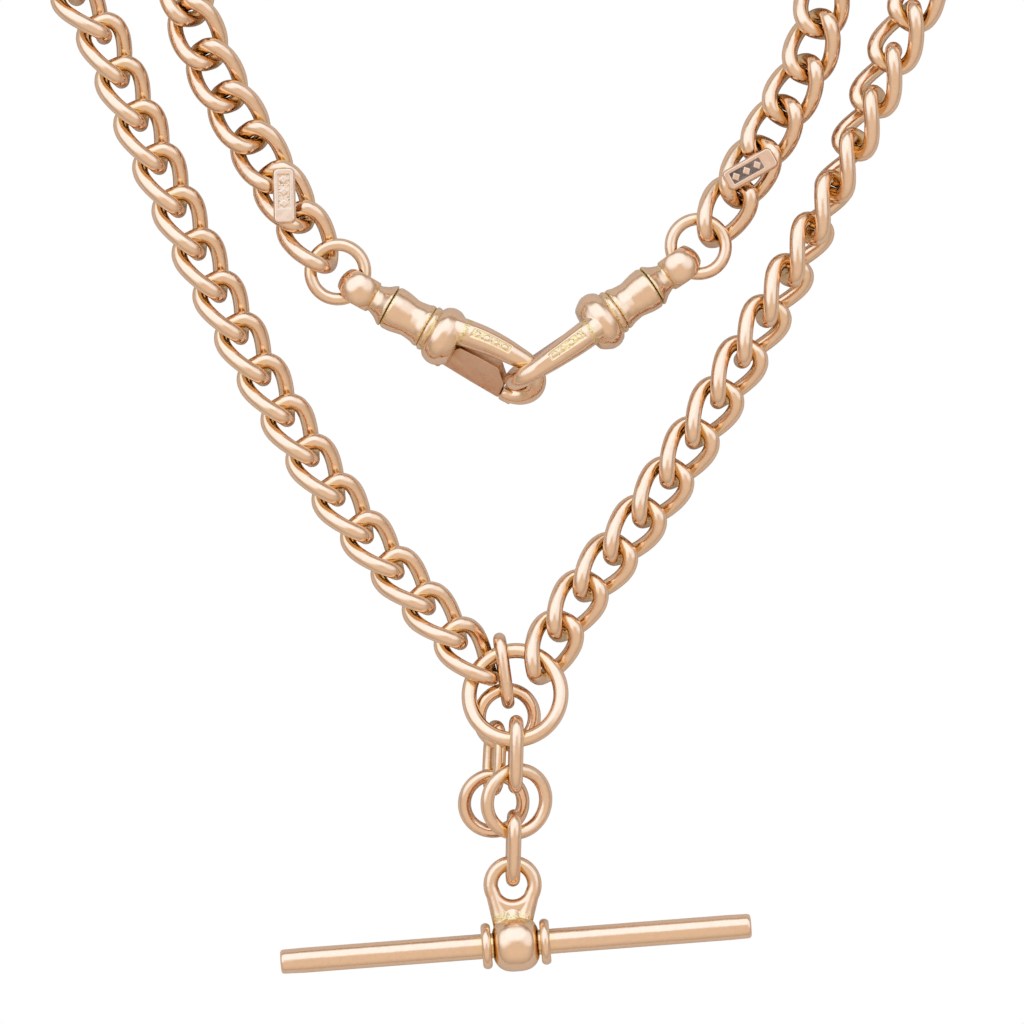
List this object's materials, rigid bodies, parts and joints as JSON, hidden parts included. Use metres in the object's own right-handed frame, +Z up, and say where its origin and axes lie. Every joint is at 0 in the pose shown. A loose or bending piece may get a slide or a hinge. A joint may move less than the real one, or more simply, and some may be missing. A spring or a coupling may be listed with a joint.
{
  "type": "pocket watch chain",
  "caption": "Closed loop of twisted rose gold curb links on a central ring, with a T-bar drop, a short fob drop and a swivel clip at each end, the clips hooked together.",
  "frame": {"origin": "middle of the bounding box at the surface the chain lies on", "axes": "+Z up from that surface; +Y runs from the T-bar towards the far bends of the strands; +X to the right seen from above"},
  "size_m": [0.0994, 0.1172, 0.0076],
  "materials": {
    "rose_gold": "polished 9 ct rose gold with fine handling scratches",
    "rose_gold_plate": "polished rose gold plate with a sunken panel",
    "rose_gold_pin": "polished rose gold pin end",
    "spring_steel": "plain spring steel leaf"
  },
  "bodies": {
    "central_ring": {"central_ring": "rose_gold"},
    "drop_upper_link": {"drop_upper_link": "rose_gold"},
    "drop_ring": {"drop_ring": "rose_gold"},
    "drop_lower_link": {"drop_lower_link": "rose_gold"},
    "tbar_eye_ball": {"tbar_eye_ball": "rose_gold"},
    "tbar": {"tbar_rod": "rose_gold", "tbar_collars": "rose_gold"},
    "fob_upper_link": {"fob_upper_link": "rose_gold"},
    "fob_upper_ring": {"fob_upper_ring": "rose_gold"},
    "fob_long_link": {"fob_long_link": "rose_gold"},
    "fob_end_ring": {"fob_end_ring": "rose_gold"},
    "left_links_01_02": {"left_links_01_02": "rose_gold"},
    "left_links_03_04": {"left_links_03_04": "rose_gold"},
    "left_links_05_06": {"left_links_05_06": "rose_gold"},
    "left_links_07_08": {"left_links_07_08": "rose_gold"},
    "left_links_09_10": {"left_links_09_10": "rose_gold"},
    "left_links_11_13": {"left_links_11_13": "rose_gold"},
    "left_links_14_16": {"left_links_14_16": "rose_gold"},
    "left_links_17_19": {"left_links_17_19": "rose_gold"},
    "left_links_20_22": {"left_links_20_22": "rose_gold"},
    "left_links_23_27": {"left_links_23_25": "rose_gold", "left_links_26_27": "rose_gold"},
    "left_links_28_30": {"left_links_28_30": "rose_gold"},
    "left_links_31_33": {"left_links_31_33": "rose_gold"},
    "left_links_34_36": {"left_links_34_36": "rose_gold"},
    "left_links_37_39": {"left_links_37_39": "rose_gold", "left_tag_plate": "rose_gold_plate"},
    "left_jump_ring": {"left_jump_ring": "rose_gold"},
    "left_swivel_eye": {"left_swivel_eye": "rose_gold"},
    "left_clip": {"left_swivel_barrel": "rose_gold", "left_hook": "rose_gold", "left_gate_pin": "rose_gold_pin", "left_gate_spring": "spring_steel"},
    "left_gate": {"left_gate": "rose_gold"},
    "right_links_01_02": {"right_links_01_02": "rose_gold"},
    "right_links_03_04": {"right_links_03_04": "rose_gold"},
    "right_links_05_06": {"right_links_05_06": "rose_gold"},
    "right_links_07_08": {"right_links_07_08": "rose_gold"},
    "right_links_09_10": {"right_links_09_10": "rose_gold"},
    "right_links_11_13": {"right_links_11_13": "rose_gold"},
    "right_links_14_16": {"right_links_14_16": "rose_gold"},
    "right_links_17_19": {"right_links_17_19": "rose_gold"},
    "right_links_20_22": {"right_links_20_22": "rose_gold"},
    "right_links_23_27": {"right_links_23_25": "rose_gold", "right_links_26_27": "rose_gold"},
    "right_links_28_30": {"right_links_28_30": "rose_gold"},
    "right_links_31_33": {"right_links_31_33": "rose_gold"},
    "right_links_34_36": {"right_links_34_36": "rose_gold"},
    "right_links_37_39": {"right_links_37_39": "rose_gold", "right_tag_plate": "rose_gold_plate"},
    "right_jump_ring": {"right_jump_ring": "rose_gold"},
    "right_swivel_eye": {"right_swivel_eye": "rose_gold"},
    "right_clip": {"right_swivel_barrel": "rose_gold", "right_hook": "rose_gold", "right_gate_pin": "rose_gold_pin", "right_gate_spring": "spring_steel"},
    "right_gate": {"right_gate": "rose_gold"}
  },
  "joints": [
    {"name": "drop_upper_link_pitch", "type": "hinge", "parent": "central_ring", "child": "drop_upper_link", "pos_m": [0.00095, -0.03768, 0.00472], "axis": [-1, 0, 0], "range_deg": [0, 40]},
    {"name": "drop_ring_turn", "type": "hinge", "parent": "drop_upper_link", "child": "drop_ring", "pos_m": [0.00107, -0.04184, 0.0042], "axis": [0, 0, 1], "range_deg": [-12, 7]},
    {"name": "drop_lower_link_pitch", "type": "hinge", "parent": "drop_ring", "child": "drop_lower_link", "pos_m": [0.00106, -0.04602, 0.00353], "axis": [-1, 0, 0], "range_deg": [-2, 40]},
    {"name": "tbar_eye_turn", "type": "hinge", "parent": "drop_lower_link", "child": "tbar_eye_ball", "pos_m": [0.00086, -0.05011, 0.00231], "axis": [0, 0, 1], "range_deg": [-35, 35]},
    {"name": "tbar_spin", "type": "hinge", "parent": "tbar_eye_ball", "child": "tbar", "pos_m": [0.00115, -0.05594, 0.00255], "axis": [0.9971, 0.0767, 0], "continuous": true},
    {"name": "fob_upper_link_pitch", "type": "hinge", "parent": "central_ring", "child": "fob_upper_link", "pos_m": [-0.00055, -0.0302, 0.00229], "axis": [0.914, 0.4044, -0.0322], "range_deg": [0, 15]},
    {"name": "fob_upper_ring_turn", "type": "hinge", "parent": "fob_upper_link", "child": "fob_upper_ring", "pos_m": [0.00046, -0.03447, 0.00202], "axis": [0, 0, 1], "range_deg": [-6, 1.5]},
    {"name": "fob_long_link_pitch", "type": "hinge", "parent": "fob_upper_ring", "child": "fob_long_link", "pos_m": [-0.00031, -0.03816, 0.00196], "axis": [1, 0, 0], "range_deg": [0, 10]},
    {"name": "fob_end_ring_turn", "type": "hinge", "parent": "fob_long_link", "child": "fob_end_ring", "pos_m": [-0.00092, -0.04223, 0.00195], "axis": [0, 0, 1], "range_deg": [-25, 25]},
    {"name": "left_fold_01", "type": "hinge", "parent": "central_ring", "child": "left_links_01_02", "pos_m": [-0.0015, -0.03169, 0.00236], "axis": [0.992, 0.0432, 0.1185], "range_deg": [-3, 3.5]},
    {"name": "right_fold_01", "type": "hinge", "parent": "central_ring", "child": "right_links_01_02", "pos_m": [0.00332, -0.03148, 0.00294], "axis": [0.992, 0.0432, 0.1185], "range_deg": [-3, 3.5]},
    {"name": "left_fold_02", "type": "hinge", "parent": "left_links_01_02", "child": "left_links_03_04", "pos_m": [-0.00715, -0.02547, 0.00263], "axis": [-0.996, -0.088, 0.0183], "range_deg": [-20, 20]},
    {"name": "right_fold_02", "type": "hinge", "parent": "right_links_01_02", "child": "right_links_03_04", "pos_m": [0.00745, -0.02418, 0.00236], "axis": [-0.996, -0.088, 0.0183], "range_deg": [-20, 20]},
    {"name": "left_fold_03", "type": "hinge", "parent": "left_links_03_04", "child": "left_links_05_06", "pos_m": [-0.01262, -0.0191, 0.0023], "axis": [0.9983, 0.058, -0.0074], "range_deg": [-20, 20]},
    {"name": "right_fold_03", "type": "hinge", "parent": "right_links_03_04", "child": "right_links_05_06", "pos_m": [0.01269, -0.01763, 0.00211], "axis": [0.9983, 0.058, -0.0074], "range_deg": [-20, 20]},
    {"name": "left_fold_04", "type": "hinge", "parent": "left_links_05_06", "child": "left_links_07_08", "pos_m": [-0.0174, -0.0122, 0.0023], "axis": [-0.9989, -0.0457, 0.0033], "range_deg": [-20, 20]},
    {"name": "right_fold_04", "type": "hinge", "parent": "right_links_05_06", "child": "right_links_07_08", "pos_m": [0.01731, -0.01061, 0.00218], "axis": [-0.9989, -0.0457, 0.0033], "range_deg": [-20, 20]},
    {"name": "left_lift_01", "type": "hinge", "parent": "left_links_07_08", "child": "left_links_09_10", "pos_m": [-0.0217, -0.00498, 0.0023], "axis": [0.7706, 0.6355, 0.0478], "range_deg": [-20, 20]},
    {"name": "left_lift_01_return", "type": "hinge", "parent": "left_jump_ring", "child": "left_swivel_eye", "pos_m": [-0.01282, 0.00234, 0.00285], "axis": [0.7706, 0.6355, 0.0478], "range_deg": [-20, 20]},
    {"name": "left_lift_02", "type": "hinge", "parent": "left_links_09_10", "child": "left_links_11_13", "pos_m": [-0.02561, 0.00245, 0.0023], "axis": [-0.9648, -0.2593, -0.0427], "range_deg": [-10, 20]},
    {"name": "left_lift_02_return", "type": "hinge", "parent": "left_links_37_39", "child": "left_jump_ring", "pos_m": [-0.0161, 0.00501, 0.00272], "axis": [-0.9648, -0.2593, -0.0427], "range_deg": [-20, 10]},
    {"name": "left_lift_03", "type": "hinge", "parent": "left_links_11_13", "child": "left_links_14_16", "pos_m": [-0.03093, 0.01387, 0.0023], "axis": [0.9704, 0.228, -0.079], "range_deg": [-20, 12]},
    {"name": "left_lift_03_return", "type": "hinge", "parent": "left_links_34_36", "child": "left_links_37_39", "pos_m": [-0.02252, 0.01585, 0.00161], "axis": [0.9704, 0.228, -0.079], "range_deg": [-12, 20]},
    {"name": "left_lift_04", "type": "hinge", "parent": "left_links_14_16", "child": "left_links_17_19", "pos_m": [-0.03592, 0.02544, 0.0023], "axis": [-0.9737, -0.2115, 0.0845], "range_deg": [-20, 20]},
    {"name": "left_lift_04_return", "type": "hinge", "parent": "left_links_31_33", "child": "left_links_34_36", "pos_m": [-0.02804, 0.02715, 0.00161], "axis": [-0.9737, -0.2115, 0.0845], "range_deg": [-20, 20]},
    {"name": "left_lift_05", "type": "hinge", "parent": "left_links_17_19", "child": "left_links_20_22", "pos_m": [-0.04435, 0.03474, 0.0025], "axis": [0.9619, 0.2725, -0.0235], "range_deg": [-15, 15]},
    {"name": "left_lift_05_return", "type": "hinge", "parent": "left_links_28_30", "child": "left_links_31_33", "pos_m": [-0.02712, 0.03962, 0.00208], "axis": [0.9619, 0.2725, -0.0235], "range_deg": [-15, 15]},
    {"name": "left_lift_06", "type": "hinge", "parent": "left_links_20_22", "child": "left_links_23_27", "pos_m": [-0.04754, 0.04627, 0.00255], "axis": [-0.9621, -0.2726, 0.0087], "range_deg": [-15, 15]},
    {"name": "left_lift_06_return", "type": "hinge", "parent": "left_links_23_27", "child": "left_links_28_30", "pos_m": [-0.03032, 0.05115, 0.0024], "axis": [-0.9621, -0.2726, 0.0087], "range_deg": [-15, 15]},
    {"name": "left_swivel", "type": "hinge", "parent": "left_swivel_eye", "child": "left_clip", "pos_m": [-0.01003, 0.00077, 0.00295], "axis": [0.8734, -0.4861, 0.0297], "range_deg": [-2, 4]},
    {"name": "left_gate_hinge", "type": "hinge", "parent": "left_clip", "child": "left_gate", "pos_m": [-0.00528, -0.0033, 0.0019], "axis": [-0.3582, -0.5999, 0.7154], "range_deg": [0, 9], "stiffness_Nm_per_rad": 0.002},
    {"name": "right_lift_01", "type": "hinge", "parent": "right_links_07_08", "child": "right_links_09_10", "pos_m": [0.02162, -0.0034, 0.00227], "axis": [-0.6024, 0.7931, 0.0901], "range_deg": [-20, 20]},
    {"name": "right_lift_01_return", "type": "hinge", "parent": "right_jump_ring", "child": "right_swivel_eye", "pos_m": [0.01575, 0.00433, 0.00315], "axis": [-0.6024, 0.7931, 0.0901], "range_deg": [-20, 20]},
    {"name": "right_lift_02", "type": "hinge", "parent": "right_links_09_10", "child": "right_links_11_13", "pos_m": [0.02574, 0.00392, 0.00247], "axis": [0.8949, -0.4459, -0.0182], "range_deg": [-2.5, 20]},
    {"name": "right_lift_02_return", "type": "hinge", "parent": "right_links_37_39", "child": "right_jump_ring", "pos_m": [0.01858, 0.00749, 0.00261], "axis": [0.8949, -0.4459, -0.0182], "range_deg": [-20, 2.5]},
    {"name": "right_lift_03", "type": "hinge", "parent": "right_links_11_13", "child": "right_links_14_16", "pos_m": [0.0312, 0.01527, 0.00254], "axis": [-0.8934, 0.4401, -0.0905], "range_deg": [-20, 16]},
    {"name": "right_lift_03_return", "type": "hinge", "parent": "right_links_34_36", "child": "right_links_37_39", "pos_m": [0.02501, 0.01832, 0.00191], "axis": [-0.8934, 0.4401, -0.0905], "range_deg": [-16, 20]},
    {"name": "right_lift_04", "type": "hinge", "parent": "right_links_14_16", "child": "right_links_17_19", "pos_m": [0.03619, 0.02684, 0.00227], "axis": [0.9116, -0.4088, 0.0436], "range_deg": [-20, 20]},
    {"name": "right_lift_04_return", "type": "hinge", "parent": "right_links_31_33", "child": "right_links_34_36", "pos_m": [0.02865, 0.03022, 0.00191], "axis": [0.9116, -0.4088, 0.0436], "range_deg": [-20, 20]},
    {"name": "right_lift_05", "type": "hinge", "parent": "right_links_17_19", "child": "right_links_20_22", "pos_m": [0.04387, 0.03679, 0.00214], "axis": [-0.9503, 0.3106, -0.0224], "range_deg": [-15, 15]},
    {"name": "right_lift_05_return", "type": "hinge", "parent": "right_links_28_30", "child": "right_links_31_33", "pos_m": [0.02625, 0.04255, 0.00173], "axis": [-0.9503, 0.3106, -0.0224], "range_deg": [-15, 15]},
    {"name": "right_lift_06", "type": "hinge", "parent": "right_links_20_22", "child": "right_links_23_27", "pos_m": [0.047, 0.04847, 0.00198], "axis": [0.9519, -0.3059, 0.0166], "range_deg": [-15, 15]},
    {"name": "right_lift_06_return", "type": "hinge", "parent": "right_links_23_27", "child": "right_links_28_30", "pos_m": [0.02996, 0.05395, 0.00169], "axis": [0.9519, -0.3059, 0.0166], "range_deg": [-15, 15]},
    {"name": "right_swivel", "type": "hinge", "parent": "right_swivel_eye", "child": "right_clip", "pos_m": [0.01314, 0.00251, 0.00343], "axis": [-0.821, -0.5643, 0.0872], "range_deg": [-4, 2]},
    {"name": "right_gate_hinge", "type": "hinge", "parent": "right_clip", "child": "right_gate", "pos_m": [0.00786, -0.0008, 0.00224], "axis": [-0.5496, 0.8224, 0.1472], "range_deg": [0, 9], "stiffness_Nm_per_rad": 0.002}
  ],
  "couplings": [
    {"joint": "right_fold_01", "follows": "left_fold_01", "ratio": 1},
    {"joint": "right_fold_02", "follows": "left_fold_02", "ratio": 1},
    {"joint": "right_fold_03", "follows": "left_fold_03", "ratio": 1},
    {"joint": "right_fold_04", "follows": "left_fold_04", "ratio": 1},
    {"joint": "left_lift_01_return", "follows": "left_lift_01", "ratio": -1},
    {"joint": "left_lift_02_return", "follows": "left_lift_02", "ratio": -1},
    {"joint": "left_lift_03_return", "follows": "left_lift_03", "ratio": -1},
    {"joint": "left_lift_04_return", "follows": "left_lift_04", "ratio": -1},
    {"joint": "left_lift_05_return", "follows": "left_lift_05", "ratio": -1},
    {"joint": "left_lift_06_return", "follows": "left_lift_06", "ratio": -1},
    {"joint": "right_lift_01_return", "follows": "right_lift_01", "ratio": -1},
    {"joint": "right_lift_02_return", "follows": "right_lift_02", "ratio": -1},
    {"joint": "right_lift_03_return", "follows": "right_lift_03", "ratio": -1},
    {"joint": "right_lift_04_return", "follows": "right_lift_04", "ratio": -1},
    {"joint": "right_lift_05_return", "follows": "right_lift_05", "ratio": -1},
    {"joint": "right_lift_06_return", "follows": "right_lift_06", "ratio": -1}
  ]
}
